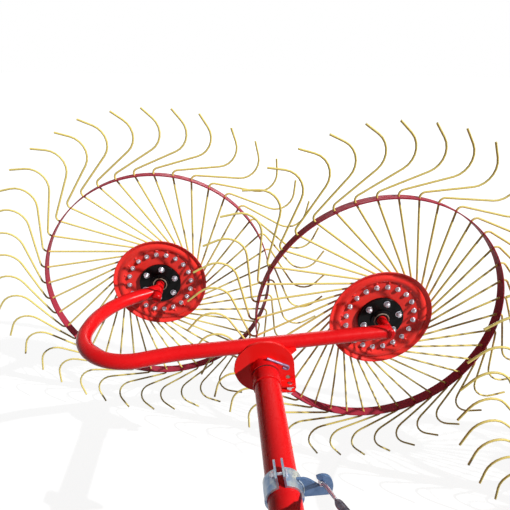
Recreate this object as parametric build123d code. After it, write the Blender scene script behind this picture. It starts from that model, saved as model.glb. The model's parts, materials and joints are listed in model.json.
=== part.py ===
from build123d import *
import math
import os

# Hay tedder: a mounted finger-wheel rake with four raking wheels in echelon.
# Two wheels hang on each bent rocker beam, and each beam rocks on the end of a boom.
# Both booms hinge on a slanting toolbar with a three-point headstock and three parking stands.
# Millimetres. +X runs along the wheel planes, +Y along the axles to the back, +Z up.
# Everything is placed from the centre of the first wheel, and moved to the floor at the end.

# Clearances: bearings and pins, pieces seated on each other, overrun of a cutting solid
running_gap = 0.3
seat_gap = 0.3
thrust_gap = 0.5
overrun = 1.0

# Raking wheel: rim hoop, and wire tines held between the disc and a backing ring
wheel_pitch = 820.0
wheel_step = 317.0
pair_pitch = 1634.0
pair_step = 680.0
rim_radius = 450.0
rim_width = 40.0
rim_thickness = 4.0
tine_count = 40
wire_radius = 3.75
spoke_offset = 136.0
spoke_end = 12.0
kick_out = 20.0
rim_bend_radius = 16.0
arm_rise = 15.0
arm_length = 276.0
hook_turn = 105.6
hook_bend_radius = 70.0
hook_length = 147.0
backing_inner = 112.0
backing_outer = 166.0
backing_thickness = 6.0
backing_bite = 1.5

# Angle that each wheel has come to rest at, clockwise as seen from the headstock side
wheel_turns = [-62.2, 0.7, 8.4, 13.4]

# Pressed disc: a flat floor, then a bead, a valley and a raised lip, by radius and height above the floor
disc_thickness = 4.0
disc_floor = 139.0
disc_pressing = [(142.0, 1.0), (151.0, 7.0), (155.0, 8.3), (160.0, 8.6), (165.0, 7.2), (170.0, 4.2),
                 (173.5, 3.0), (177.0, 4.2), (184.0, 9.0), (187.5, 10.6)]

# Hub with its bearing barrel, and the axle stub that it turns on
hub_flange_radius = 83.0
hub_flange_thickness = 8.0
hub_boss_radius = 38.0
hub_boss_height = 10.0
hub_barrel_radius = 48.0
hub_barrel_length = 56.0
hub_cap_radius = 36.0
hub_cap_length = 14.0
hub_bore_depth = 50.0
stub_radius = 17.5
near_stub_front = 118.0
far_stub_front = 146.0
stub_chamfer = 2.0
stub_end_play = 2.0

# Rocker beam: one round tube bent in a level plane, from the second wheel back to the first
beam_radius = 24.15
beam_wall = 4.0
beam_near_seat = 96.0
beam_far_seat = 76.0
knee_along = 100.0
knee_ahead = 495.0
knee_radius = 718.0
elbow_along = -233.0
elbow_ahead = 583.0
elbow_radius = 163.0
return_along = -191.0
return_ahead = 197.0
return_radius = 270.0

# Pivot plate, its lug and the cradle that carry the beam on the end of the boom
pivot_along = 385.0
pivot_drop = 66.0
pivot_ahead = 490.5
pivot_plate_radius = 98.0
pivot_plate_thickness = 8.0
lug_reach = 109.0
lug_inner = 56.0
lug_bottom = 92.0
lug_hole_radius = 8.0
lug_hole_along = 79.0
lug_hole_drop = 42.0
stop_ear_thickness = 7.0
stop_ear_reach = 26.0
stop_ear_levels = (-81.0, -60.0)
stop_bolt_radius = 8.0
stop_bolt_ahead = 13.0
stop_bolt_along = 84.0
cradle_left = 84.0
cradle_right = 104.0
cradle_foot_left = 40.0
cradle_foot_right = 16.0
cradle_top = 58.0
cradle_bottom = 30.0
cradle_depth = 44.0
spigot_length = 90.0

# Boom: round tube with an end collar, a hinge sleeve and a retaining pin in the collar
boom_radius = 40.0
boom_wall = 5.0
socket_radius = 42.0
socket_length = 92.0
socket_groove = 45.5
socket_sleeve_radius = 43.8
collar_radius = 46.0
collar_length = 26.0
collar_ahead = 14.0
hinge_ahead = 1400.0
sleeve_radius = 30.0
sleeve_length = 110.0
pin_radius = 4.5
pin_sink = 1.0
pin_slope = 26.0
pin_left = 20.0
pin_right = 60.0
pin_fold = 11.5
pin_tail = 17.0
pin_bend_radius = 5.5
pin_on_collar = 8.0

# Band clamp on the boom, with the hook plate for the balance spring
clamp_ahead = 946.0
clamp_width = 50.0
clamp_thickness = 6.0
clamp_slit = 14.0
clamp_turn = 10.0
ear_height = 29.0
ear_thickness = 5.0
hook_plate_thickness = 6.0
hook_ahead = 945.0
hook_top = 36.5
hook_bottom = 25.5
hook_foot = 46.0
hook_shoulder = [(60.0, 30.5), (74.0, 19.0), (86.0, 9.5)]
hook_throat = [(90.7, 12.5), (90.4, 19.8), (85.8, 26.2), (79.3, 31.6), (75.5, 39.5)]
hook_back = [(82.0, 43.0), (93.5, 44.2), (104.5, 39.0), (113.0, 27.2), (117.5, 11.8), (118.0, -1.6),
             (115.0, -15.0), (109.0, -21.0)]
spring_seat_along = 91.5
spring_seat_rise = 18.5

# Toolbar, parallel to the row of wheels
bar_size = 100.0
bar_wall = 6.0
bar_behind_hinge = 150.0
bar_overhang = 220.0

# Hinge brackets of the booms
cheek_thickness = 12.0
cheek_height = 90.0
cheek_nose = 38.0
hinge_pin_radius = 15.0
hinge_pin_stand = 12.0

# Posts and balance springs
post_size = 50.0
post_height = 440.0
post_wall = 4.0
post_shift = 90.0
eye_plate_size = 44.0
eye_plate_thickness = 8.0
eye_hole_radius = 7.0
eye_drop = 34.0
spring_radius = 10.5
spring_wire_radius = 2.5
spring_foot_end = 130.0
spring_eye_end = 45.0

# Headstock: neck, crossbar, lower hitch pins, mast with the top-link ears, stay
neck_along = 1115.0
neck_length = 560.0
neck_size = 100.0
neck_wall = 6.0
travel_turn = 25.0
crossbar_size = 80.0
crossbar_wall = 6.0
hitch_spread = 683.0
hitch_plate_thickness = 14.0
hitch_plate_width = 90.0
hitch_drop = 100.0
hitch_pin_radius = 11.0
hitch_pin_length = 60.0
hitch_pin_chamfer = 2.0
mast_height = 460.0
mast_foot = 190.0
mast_gap = 52.0
mast_thickness = 12.0
mast_depth = 70.0
mast_knee = 90.0
mast_crown = 34.0
top_link_radius = 9.75
tie_thickness = 10.0
stay_radius = 20.0

# Parking stands: sliding legs in sleeves, one at each end of the toolbar and one on the neck
leg_size = 50.0
leg_gap = 0.5
leg_wall = 4.0
leg_above = 60.0
stand_sleeve_wall = 6.0
stand_sleeve_length = 180.0
foot_size = 150.0
foot_thickness = 10.0
neck_stand_ahead = 300.0

# Derived sizes of the wheel
spoke_lean = math.degrees(math.asin(spoke_offset / rim_radius))
disc_back = wire_radius + seat_gap
disc_front = disc_back + disc_thickness
hub_front = disc_front + hub_flange_thickness + hub_boss_height
bar_ahead = hinge_ahead + bar_behind_hinge
bar_slope = math.degrees(math.atan2(pair_step, pair_pitch))
boom_spacing = math.hypot(pair_pitch, pair_step)
post_along = post_shift / math.cos(math.radians(bar_slope))
spring_seat_ahead = hook_ahead + hook_plate_thickness / 2 + spring_wire_radius + seat_gap
spring_foot = (pivot_along + spring_seat_along, -spring_seat_ahead, -pivot_drop + spring_seat_rise)
eye_back = post_size / 2 + eye_plate_size / 2
stand_side = (bar_size + leg_size) / 2 + leg_gap + stand_sleeve_wall
headstock_side = Plane.XZ.location


def direction(angle):
    """Unit vector in the wheel plane, measured from the wheel's right."""
    return Vector(math.cos(math.radians(angle)), math.sin(math.radians(angle)))


def rod(start, end, radius):
    """Round bar between two points."""
    run = Vector(*end) - Vector(*start)
    return Solid.make_cylinder(radius, run.length, Plane(origin=start, z_dir=run))


def revolved(outline):
    """Body of revolution about the wheel's axle, from points of (radius, height)."""
    face = make_face(Polyline(*[(radius, 0, height) for radius, height in outline], close=True))
    return revolve(face, Axis.Z)


def tine_points():
    """Spoke end, bend at the rim, corner of the hook and tip of the tine that leaves the rim at the top."""
    outward = direction(90 + spoke_lean)
    at_rim = Vector(0, rim_radius)
    spoke = rim_radius * math.cos(math.radians(spoke_lean)) - spoke_end
    bend = at_rim + outward * kick_out
    corner = bend + direction(arm_rise) * arm_length
    tip = corner + direction(arm_rise + hook_turn) * hook_length
    return at_rim - outward * spoke, bend, corner, tip


def tine():
    """One wire tine: a straight spoke, a bend at the rim, a long arm and a hooked tip."""
    points = tine_points()
    path = FilletPolyline(*points, radius=[rim_bend_radius, hook_bend_radius])
    start = Plane(origin=points[0], z_dir=points[1] - points[0])
    return sweep(start * Circle(wire_radius), path=path)


def around(count):
    """Turns of a pattern round the wheel's axle, clockwise."""
    return [Rot(0, 0, -360 / count * index) for index in range(count)]


def tine_crown():
    """All tines of a wheel on their backing ring."""
    ring = extrude(Circle(backing_outer) - Circle(backing_inner), backing_thickness)
    ring = Pos(0, 0, -wire_radius + backing_bite - backing_thickness) * ring
    wire = tine()
    return ring + [turn * wire for turn in around(tine_count)]


def rim_hoop():
    """Flat hoop that every tine passes through."""
    outer = rim_radius + rim_thickness / 2
    hoop = Cylinder(outer, rim_width) - Cylinder(outer - rim_thickness, rim_width + overrun)
    outward = direction(90 + spoke_lean)
    at_rim = Vector(0, rim_radius)
    reach = kick_out
    hole = rod(at_rim - outward * reach, at_rim + outward * reach, wire_radius + seat_gap)
    return hoop - [turn * hole for turn in around(tine_count)]


def wheel_disc():
    """Pressed disc in front of the spokes."""
    bore = hub_barrel_radius + seat_gap
    back = [(bore, disc_back), (disc_floor, disc_back)]
    back += [(radius, disc_back + rise) for radius, rise in disc_pressing]
    front = [(radius, height + disc_thickness) for radius, height in reversed(back)]
    return revolved(back + front)


def hub():
    """Flanged hub with a boss in front, a bearing barrel behind and a closed cap."""
    flange_front = disc_front + hub_flange_thickness
    bore = stub_radius + running_gap
    return revolved([
        (bore, hub_front),
        (hub_boss_radius, hub_front),
        (hub_boss_radius, flange_front),
        (hub_flange_radius, flange_front),
        (hub_flange_radius, disc_front),
        (hub_barrel_radius, disc_front),
        (hub_barrel_radius, -hub_barrel_length),
        (hub_cap_radius, -hub_barrel_length - hub_cap_length),
        (0, -hub_barrel_length - hub_cap_length),
        (0, -hub_bore_depth),
        (bore, -hub_bore_depth),
    ])


def axle_stub(front):
    """Axle stub on the wheel's axis, from inside the hub to its chamfered front end."""
    back = stub_end_play - hub_bore_depth
    body = Pos(0, 0, (front + back) / 2) * Cylinder(stub_radius, front - back)
    return chamfer(body.edges().sort_by(Axis.Z)[-1], stub_chamfer)


def beam_path():
    """Centreline of a rocker beam, from the second wheel's stub to the first wheel's."""
    corners = [
        (wheel_pitch, -wheel_step - beam_near_seat),
        (knee_along, -knee_ahead),
        (elbow_along, -elbow_ahead),
        (return_along, -return_ahead),
        (0, -beam_far_seat),
    ]
    return FilletPolyline(*corners, radius=[knee_radius, elbow_radius, return_radius])


def beam_solid(outer, inner=0):
    """Sweep of the beam's round section, hollow where an inner radius is given."""
    path = beam_path()
    section = Circle(outer)
    if inner:
        section -= Circle(inner)
    start = Plane(origin=path @ 0, z_dir=path % 0)
    return sweep(start * section, path=path)


def stub_clearance(centre_x, centre_y):
    """Room that a beam's coped end leaves round an axle stub."""
    clear = Cylinder(stub_radius + seat_gap, 2 * (wheel_step + beam_near_seat))
    return Pos(centre_x, centre_y, 0) * (headstock_side * clear)


def rocker_beam():
    """Bent beam, its ends coped round the axle stubs."""
    tube = beam_solid(beam_radius, beam_radius - beam_wall)
    return tube - [stub_clearance(0, 0), stub_clearance(wheel_pitch, -wheel_step)]


def on_pivot(shape, ahead):
    """Shape drawn round the pivot axis in a plane that faces the headstock, placed that far ahead."""
    return Pos(pivot_along, -ahead, -pivot_drop) * (headstock_side * shape)


def stop_ears():
    """Two level ears in front of the lug, bored for the upright stop bolt."""
    width = lug_reach - lug_inner - stop_ear_thickness
    middle = (lug_reach + lug_inner) / 2 - stop_ear_thickness / 2
    depth = stop_ear_reach + pivot_plate_thickness
    ears = []
    for level in stop_ear_levels:
        ear = Pos(middle, level) * Rectangle(width, stop_ear_thickness)
        ears.append(on_pivot(extrude(ear, depth), pivot_ahead))
    bolt_ahead = pivot_ahead + pivot_plate_thickness + stop_bolt_ahead
    bore = Cylinder(stop_bolt_radius + seat_gap, 2 * lug_bottom)
    bore = Pos(pivot_along + stop_bolt_along, -bolt_ahead, -pivot_drop - lug_bottom) * bore
    return [ear - bore for ear in ears]


def rocker_pivot():
    """Pivot plate with its lug, the cradle under the beam and the spigot inside the boom."""
    lug = make_face(Polyline(
        (0, 0),
        (pivot_plate_radius, 0),
        (lug_reach, -lug_bottom),
        (lug_inner, -lug_bottom),
        close=True,
    ))
    plate = Circle(pivot_plate_radius) + lug
    plate -= Pos(lug_hole_along, -lug_hole_drop) * Circle(lug_hole_radius)
    plate = on_pivot(extrude(plate, pivot_plate_thickness), pivot_ahead)
    plate += stop_ears()
    cradle = make_face(Polyline(
        (-cradle_foot_left, -cradle_bottom),
        (-cradle_left, cradle_top),
        (cradle_right, cradle_top),
        (cradle_foot_right, -cradle_bottom),
        close=True,
    ))
    cradle = on_pivot(extrude(cradle, -cradle_depth), pivot_ahead)
    seat = plate + cradle - beam_solid(beam_radius + seat_gap)
    spigot_radius = boom_radius - boom_wall - running_gap
    spigot = extrude(Circle(spigot_radius), spigot_length)
    spigot = on_pivot(spigot, pivot_ahead + pivot_plate_thickness)
    return seat + spigot


def retaining_pin(radius):
    """Bent pin that lies across the collar, drawn round the pivot axis."""
    level = collar_radius + pin_radius - pin_sink
    path = FilletPolyline(
        (-pin_left, level),
        (pin_right, level),
        (pin_right, level - pin_fold),
        (pin_right - pin_tail, level - pin_fold),
        radius=pin_bend_radius,
    )
    start = Plane(origin=path @ 0, z_dir=path % 0)
    bar = sweep(start * Circle(radius), path=path)
    ahead = pivot_ahead + pivot_plate_thickness + thrust_gap + collar_ahead + pin_on_collar
    return on_pivot(Rot(0, 0, -pin_slope) * bar, ahead)


def boom():
    """Boom tube with its collar and hinge sleeve."""
    front = pivot_ahead + pivot_plate_thickness + thrust_gap
    length = hinge_ahead - front
    bore = on_pivot(extrude(Circle(boom_radius - boom_wall), length - sleeve_radius), front)
    tube = on_pivot(extrude(Circle(boom_radius), length), front)
    collar = on_pivot(extrude(Circle(collar_radius), collar_length), front + collar_ahead)
    collar += on_pivot(extrude(Circle(socket_radius), socket_length), front)
    sleeve_part = extrude(Circle(socket_sleeve_radius), socket_length - socket_groove)
    collar += on_pivot(sleeve_part, front + socket_groove)
    collar -= retaining_pin(pin_radius + seat_gap)
    hinge = Pos(pivot_along, -hinge_ahead, -pivot_drop) * Rot(0, 90, 0)
    sleeve = hinge * Cylinder(sleeve_radius, sleeve_length)
    pin_bore = hinge * Cylinder(hinge_pin_radius + running_gap, sleeve_length + overrun)
    return tube + collar + sleeve - bore - pin_bore


def band_clamp():
    """Split band round the boom, with two upright ears."""
    inner = boom_radius + seat_gap
    outer = inner + clamp_thickness
    band = Circle(outer) - Circle(inner)
    band -= Pos(0, outer) * Rectangle(clamp_slit, 2 * clamp_thickness + outer - inner)
    for side in (-1, 1):
        ear = Rectangle(ear_thickness, ear_height + clamp_thickness)
        band += Pos(side * (clamp_slit + ear_thickness) / 2, inner + (ear_height + clamp_thickness) / 2) * ear
    return on_pivot(extrude(Rot(0, 0, clamp_turn) * band, clamp_width), clamp_ahead - clamp_width / 2)


def hook_plate():
    """Flat hook beside the band that holds the lower end of the spring."""
    band_outer = boom_radius + seat_gap + clamp_thickness
    corner = (hook_foot, hook_top)
    root = Polyline(hook_back[-1], (0, -hook_bottom), (0, hook_top), corner)
    shoulder = Spline(corner, *hook_shoulder)
    throat = Spline(hook_shoulder[-1], *hook_throat)
    back = Spline(hook_throat[-1], *hook_back)
    plate = make_face([root, shoulder, throat, back]) - Circle(band_outer + seat_gap)
    plate = plate.faces().sort_by(SortBy.AREA)[-1]
    return on_pivot(extrude(plate, hook_plate_thickness), hook_ahead - hook_plate_thickness / 2)


def along_bar(along, ahead=0.0, height=0.0):
    """Place on the toolbar's centreline, that far along from the first boom, turned with the bar."""
    start = Pos(pivot_along, -bar_ahead, -pivot_drop + height)
    return start * Rot(0, 0, -bar_slope) * Pos(along, -ahead, 0)


def toolbar():
    """Square tube that carries both booms."""
    length = boom_spacing + 2 * bar_overhang
    tube = Box(length, bar_size, bar_size)
    tube -= Box(length + overrun, bar_size - 2 * bar_wall, bar_size - 2 * bar_wall)
    return along_bar(boom_spacing / 2) * tube


def bar_envelope():
    """Outside of the toolbar, to fit what is welded to it."""
    return along_bar(boom_spacing / 2) * Box(boom_spacing + 2 * bar_overhang, bar_size, bar_size)


def boom_bracket():
    """Two cheeks welded to the toolbar, and the pin that a boom swings on."""
    reach = bar_ahead - hinge_ahead + bar_size / 2 + cheek_nose
    inside = sleeve_length / 2 + thrust_gap
    hinge = Pos(pivot_along, -hinge_ahead, -pivot_drop)
    cheek = Pos(0, cheek_nose - reach / 2, 0) * Box(cheek_thickness, reach, cheek_height)
    half_pin = inside + cheek_thickness + hinge_pin_stand
    bracket = hinge * (Rot(0, 90, 0) * Cylinder(hinge_pin_radius, 2 * half_pin))
    for side in (-1, 1):
        bracket += hinge * (Pos(side * (inside + cheek_thickness / 2), 0, 0) * cheek)
    bracket -= bar_envelope()
    return bracket.solids().sort_by(SortBy.VOLUME)[-1]


def eye_place():
    """Centre of the hole in the eye plate at the top of the spring post."""
    place = along_bar(post_along, -eye_back, bar_size / 2 + post_height - eye_drop)
    return place.position


def eye_plate(gap=0.0):
    """Eye plate at the top of a spring post, grown by a gap on all sides."""
    plate = Box(eye_plate_thickness + 2 * gap, eye_plate_size + 2 * gap, eye_plate_size + 2 * gap)
    return along_bar(post_along, -eye_back, bar_size / 2 + post_height - eye_drop) * plate


def spring_post():
    """Square post on the toolbar, with an eye plate for the spring."""
    inside = post_size - 2 * post_wall
    post = Box(post_size, post_size, post_height) - Box(inside, inside, post_height - 2 * post_wall)
    post = along_bar(post_along, 0, bar_size / 2 + post_height / 2) * post
    hole = Rot(0, 90, 0) * Cylinder(eye_hole_radius, eye_plate_thickness + overrun)
    hole = along_bar(post_along, -eye_back, bar_size / 2 + post_height - eye_drop) * hole
    return post + (eye_plate() - hole)


def balance_spring():
    """Outside of the coil spring, with the straight ends of its wire."""
    foot = Vector(*spring_foot)
    eye = eye_place()
    run = (eye - foot).normalized()
    coil = rod(foot + run * spring_foot_end, eye - run * spring_eye_end, spring_radius)
    return coil + rod(foot, eye, spring_wire_radius) - eye_plate(seat_gap)


def on_neck(ahead, across=0.0, height=0.0):
    """Place on the headstock's centreline, that far ahead of the toolbar's centreline."""
    return along_bar(neck_along, 0, height) * Rot(0, 0, bar_slope + travel_turn) * Pos(across, -ahead, 0)


def headstock_neck():
    """Square beam from the toolbar to the crossbar."""
    length = neck_length - crossbar_size / 2
    inside = neck_size - 2 * neck_wall
    beam = Box(neck_size, length, neck_size) - Box(inside, length + overrun, inside)
    return on_neck(length / 2) * beam - bar_envelope()


def crossbar():
    """Square tube across the front of the neck, between the hitch plates."""
    length = hitch_spread - 2 * hitch_plate_thickness
    tube = Box(length, crossbar_size, crossbar_size)
    tube -= Box(length + overrun, crossbar_size - 2 * crossbar_wall, crossbar_size - 2 * crossbar_wall)
    return on_neck(neck_length) * tube


def hitch_plate(side):
    """End plate of the crossbar with a lower hitch pin that points outwards."""
    height = crossbar_size + hitch_drop
    plate = Box(hitch_plate_thickness, hitch_plate_width, height)
    plate = Pos(side * (hitch_spread - hitch_plate_thickness) / 2, 0, -hitch_drop / 2) * plate
    pin = chamfer(Cylinder(hitch_pin_radius, hitch_pin_length).edges().sort_by(Axis.Z)[-1], hitch_pin_chamfer)
    pin = Rot(0, side * 90, 0) * pin
    pin = Pos(side * (hitch_spread + hitch_pin_length) / 2, 0, -hitch_drop) * pin
    return on_neck(neck_length) * (plate + pin)


def mast_bar(side):
    """Bent flat bar from the crossbar up to one top-link ear."""
    seat = crossbar_size / 2
    pin_level = mast_height - hitch_drop
    top = pin_level + mast_crown
    knee = pin_level - mast_knee
    inner = mast_gap / 2
    slant = mast_thickness / math.cos(math.atan2(mast_foot - inner, knee - seat))
    bar = make_face(Polyline(
        (mast_foot, 0, seat),
        (inner, 0, knee),
        (inner, 0, top),
        (inner + mast_thickness, 0, top),
        (inner + mast_thickness, 0, knee),
        (mast_foot + slant, 0, seat),
        close=True,
    ))
    bar = extrude(bar, mast_depth / 2, both=True)
    bore = Pos(inner, 0, pin_level) * (Rot(0, 90, 0) * Cylinder(top_link_radius, 2 * mast_gap))
    bar -= bore
    if side < 0:
        bar = mirror(bar, Plane.YZ)
    return on_neck(neck_length) * bar


def mast_stay():
    """Tie plate between the mast bars, with the tube that runs back to the toolbar."""
    tie_level = mast_height - hitch_drop - mast_knee + tie_thickness
    tie = Box(mast_gap, mast_depth, tie_thickness)
    tie = on_neck(neck_length, 0, tie_level) * tie
    top = on_neck(neck_length - mast_depth / 4, 0, tie_level - tie_thickness / 2).position
    foot = on_neck(0, 0, 0).position
    tube = rod(foot, top, stay_radius)
    under = on_neck(neck_length / 2) * Box(2 * neck_size, 2 * neck_length, neck_size)
    return tie + (tube - under)


def stand_places():
    """Where the three stands slide: past both ends of the toolbar and beside the neck."""
    end = bar_overhang + stand_side - bar_size / 2
    beside_neck = (neck_size - bar_size) / 2 + stand_side
    return [
        along_bar(-end),
        along_bar(boom_spacing + end),
        on_neck(neck_stand_ahead, -beside_neck),
    ]


def stand_sleeve():
    """Square guide for a stand's leg."""
    inner = leg_size + 2 * leg_gap
    outer = inner + 2 * stand_sleeve_wall
    return Box(outer, outer, stand_sleeve_length) - Box(inner, inner, stand_sleeve_length + overrun)


def stand_leg(floor_drop):
    """Square leg with its foot plate on the floor, that far under the toolbar's centreline."""
    top = stand_sleeve_length / 2 + leg_above
    length = top + floor_drop - foot_thickness
    leg = Pos(0, 0, top - length / 2) * Box(leg_size, leg_size, length)
    inside = leg_size - 2 * leg_wall
    leg -= Pos(0, 0, top - length / 2) * Box(inside, inside, length + overrun)
    foot = Pos(0, 0, foot_thickness / 2 - floor_drop) * Box(foot_size, foot_size, foot_thickness)
    return leg + foot


def pair_place(index):
    """Place of a pair of wheels, with their rocker and boom, from the first pair."""
    return Pos(index * pair_pitch, -index * pair_step, 0)


def build():
    """Every node by name, placed from the first wheel's centre."""
    nodes = {}
    wheel = {"tines": tine_crown(), "rim": rim_hoop(), "disc": wheel_disc(), "hub": hub()}
    for index, turned_by in enumerate(wheel_turns):
        pair, within = divmod(index, 2)
        centre = pair_place(pair) * Pos(within * wheel_pitch, -within * wheel_step, 0)
        turn = headstock_side * Rot(0, 0, -turned_by)
        for name, shape in wheel.items():
            nodes[f"wheel_{index + 1}_{name}"] = centre * (turn * shape)
    rocker = {
        "beam": rocker_beam(),
        "pivot": rocker_pivot(),
        "stub_near": Pos(wheel_pitch, -wheel_step, 0) * (headstock_side * axle_stub(near_stub_front)),
        "stub_far": headstock_side * axle_stub(far_stub_front),
    }
    arm = {
        "tube": boom(),
        "retaining_pin": retaining_pin(pin_radius),
        "clamp": band_clamp(),
        "hook": hook_plate(),
    }
    carried = {
        "bracket": boom_bracket(),
        "spring_post": spring_post(),
        "balance_spring": balance_spring(),
    }
    for index, side in enumerate("ab"):
        for group, parts in (("rocker", rocker), ("boom", arm), ("frame", carried)):
            for name, shape in parts.items():
                nodes[f"{group}_{side}_{name}"] = pair_place(index) * shape
    nodes["toolbar"] = toolbar()
    nodes["headstock_neck"] = headstock_neck()
    nodes["headstock_crossbar"] = crossbar()
    nodes["mast_stay"] = mast_stay()
    for name, side in (("left", -1), ("right", 1)):
        nodes[f"hitch_plate_{name}"] = hitch_plate(side)
        nodes[f"mast_bar_{name}"] = mast_bar(side)
    crowns = [shape for name, shape in nodes.items() if name.endswith("_tines")]
    lowest = min(crown.bounding_box().min.Z for crown in crowns)
    for index, place in enumerate(stand_places()):
        nodes[f"stand_{index + 1}_sleeve"] = place * stand_sleeve()
        nodes[f"stand_{index + 1}_leg"] = place * stand_leg(-lowest - pivot_drop)
    return nodes


nodes = build()
boxes = [shape.bounding_box() for shape in nodes.values()]
low = Vector(*[min(getattr(box.min, axis) for box in boxes) for axis in "XYZ"])
high = Vector(*[max(getattr(box.max, axis) for box in boxes) for axis in "XYZ"])
middle = (low + high) / 2
to_floor = Pos(-middle.X, -middle.Y, -low.Z)
os.makedirs("parts", exist_ok=True)
for name, shape in nodes.items():
    export_step(to_floor * shape, f"parts/{name}.step")
print("nodes", len(nodes), "size", high - low, "moved by", to_floor.position)
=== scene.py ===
import json
import math
import random

import bmesh
import bpy
from mathutils import Matrix, Vector


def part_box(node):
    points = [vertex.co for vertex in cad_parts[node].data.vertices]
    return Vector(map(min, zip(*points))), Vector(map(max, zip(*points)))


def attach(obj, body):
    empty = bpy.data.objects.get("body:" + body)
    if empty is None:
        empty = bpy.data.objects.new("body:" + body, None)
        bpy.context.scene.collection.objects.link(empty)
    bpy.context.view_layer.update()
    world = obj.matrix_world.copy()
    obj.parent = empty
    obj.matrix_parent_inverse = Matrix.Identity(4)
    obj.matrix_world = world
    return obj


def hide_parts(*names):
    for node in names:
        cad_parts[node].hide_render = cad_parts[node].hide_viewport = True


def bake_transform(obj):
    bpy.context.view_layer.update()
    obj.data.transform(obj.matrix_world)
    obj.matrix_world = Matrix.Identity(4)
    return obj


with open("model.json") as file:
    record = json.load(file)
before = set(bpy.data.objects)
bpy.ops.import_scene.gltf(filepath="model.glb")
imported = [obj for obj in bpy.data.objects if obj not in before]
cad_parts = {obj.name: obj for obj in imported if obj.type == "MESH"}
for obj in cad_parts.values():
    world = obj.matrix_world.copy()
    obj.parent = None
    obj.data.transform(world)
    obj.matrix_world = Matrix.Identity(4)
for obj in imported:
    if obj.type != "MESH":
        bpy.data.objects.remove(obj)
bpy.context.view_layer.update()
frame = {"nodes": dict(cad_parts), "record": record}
random.seed(11)

# Sizes are in metres and turns in degrees. Heights on a wheel count from its rim's plane towards the headstock.

# Raking wheels: rim, wires and the ring behind the disc, as the frame has them
WHEELS = 4
WHEEL_TURNS = (-62.2, 0.7, 8.4, 13.4)
RIM_RADIUS = 0.450
RIM_THICKNESS = 0.004
TINES = 40
WIRE_RADIUS = 0.00375
SPOKE_OFFSET = 0.136
SPOKE_END = 0.012
KICK_OUT = 0.020
RIM_BEND = 0.019
ARM_RISE = 15.0
ARM_LENGTH = 0.276
TIP_TURN = 105.6
TIP_BEND = 0.070
TIP_LENGTH = 0.147
BACKING_INNER = 0.112
BACKING_OUTER = 0.166
BACKING_FRONT = -0.00225
BACKING_BACK = BACKING_FRONT - 0.006

# Raking wheels: pressed disc and hub; a bolt's sizes are its nut's radius, how far it stands out, its washer's radius
DISC_BACK = 0.00405
DISC_FRONT = 0.00805
DISC_PROFILE = ((0.0485, 0), (0.1385, 0), (0.1405, 0.0003), (0.1425, 0.0013), (0.1460, 0.0037), (0.1500, 0.0064),
                (0.1530, 0.0078), (0.1560, 0.0084), (0.1595, 0.0086), (0.1630, 0.0080), (0.1665, 0.0063),
                (0.1700, 0.0040), (0.1722, 0.0027), (0.1742, 0.0026), (0.1762, 0.0038), (0.1800, 0.0072),
                (0.1832, 0.0098), (0.1850, 0.0106), (0.1875, 0.0107))
DISC_BOLTS = 20
DISC_BOLT_CIRCLE = 0.1254
DISC_BOLT_TURN = 4.9
DISC_BOLT = (0.0082, 0.0132, 0.0094)
REAR_NUT = (0.0080, 0.0120, 0.0110)
PIP_CIRCLE = 0.1440
PIP_HEIGHT = 0.0104
PIP_SIZE = (0.0050, 0.0062, 0.0034)
HUB_PLATE_FRONT = 0.01605
HUB_COVER_FRONT = 0.02005
HUB_COVER_INNER = 0.0375
HUB_COVER_OUTER = 0.0827
HUB_BOLTS = 6
HUB_BOLT_CIRCLE = 0.065
HUB_BOLT_TURN = 10.65
HUB_BOLT = (0.0106, 0.0180, 0.0118)
HUB_FRONT = 0.02605
SEAL_INNER = 0.0245
SEAL_OUTER = 0.0285

# Second wheel from the first within a pair, and second pair from the first
WHEEL_PITCH = 0.820
WHEEL_STEP = 0.317
PAIR_PITCH = 1.634
PAIR_STEP = 0.680

# Rockers, from the first wheel of each pair
PIVOT_ALONG = 0.385
PIVOT_DROP = 0.066
PIVOT_AHEAD = 0.4905
PIVOT_PLATE = 0.008
BEAM_RADIUS = 0.02415
STUB_RADIUS = 0.0175
NEAR_SEAT = 0.096
FAR_SEAT = 0.076
KNEE = (0.100, 0.495)
RETURN = (-0.191, 0.197)
STOP_BOLT = (0.084, 0.013)
EAR_LOW = -0.0845
EAR_GAP_LOW = -0.0775
EAR_TOP = -0.0565
LUG_HOLE = (0.079, -0.042)

# Booms, from the first wheel of each pair
BOOM_RADIUS = 0.040
SOCKET_END = 0.591
SOCKET_GROOVE = 0.5445
# Black ring in the groove between collar and sleeve, as (radius, height): painted shade in the gap
GROOVE_SHADE_RING = ((0.0415, -0.0052), (0.0428, -0.0052), (0.0428, -0.0003), (0.0415, -0.0003))
BAND_RADIUS = 0.0463
HINGE_AHEAD = 1.400
SLEEVE_RADIUS = 0.030
CLAMP_AHEAD = 0.946
CLAMP_TURN = 10.0
CLAMP_BOLT_RISE = 0.0555
EAR_OUTSIDE = 0.012
HOOK_AHEAD = 0.945
HOOK_FACE = 0.0045
HOOK_SEAT = (0.0915, 0.0185)

# Balance springs
SPRING_AHEAD = 0.9508
SPRING_WIRE = 0.0026
COIL_RADIUS = 0.0066
COIL_STEPS = 10
COIL_START = 0.112
EYE_SHANK = 0.050
EYE_RADIUS = 0.0068
STRAND_BEHIND = 0.0124
HOOK_BEND_POINTS = ((0.0905, 0.0190, -0.0064), (0.0862, 0.0160, -0.0072), (0.0850, 0.0150, 0.0000),
                    (0.0862, 0.0160, 0.0072))

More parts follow.
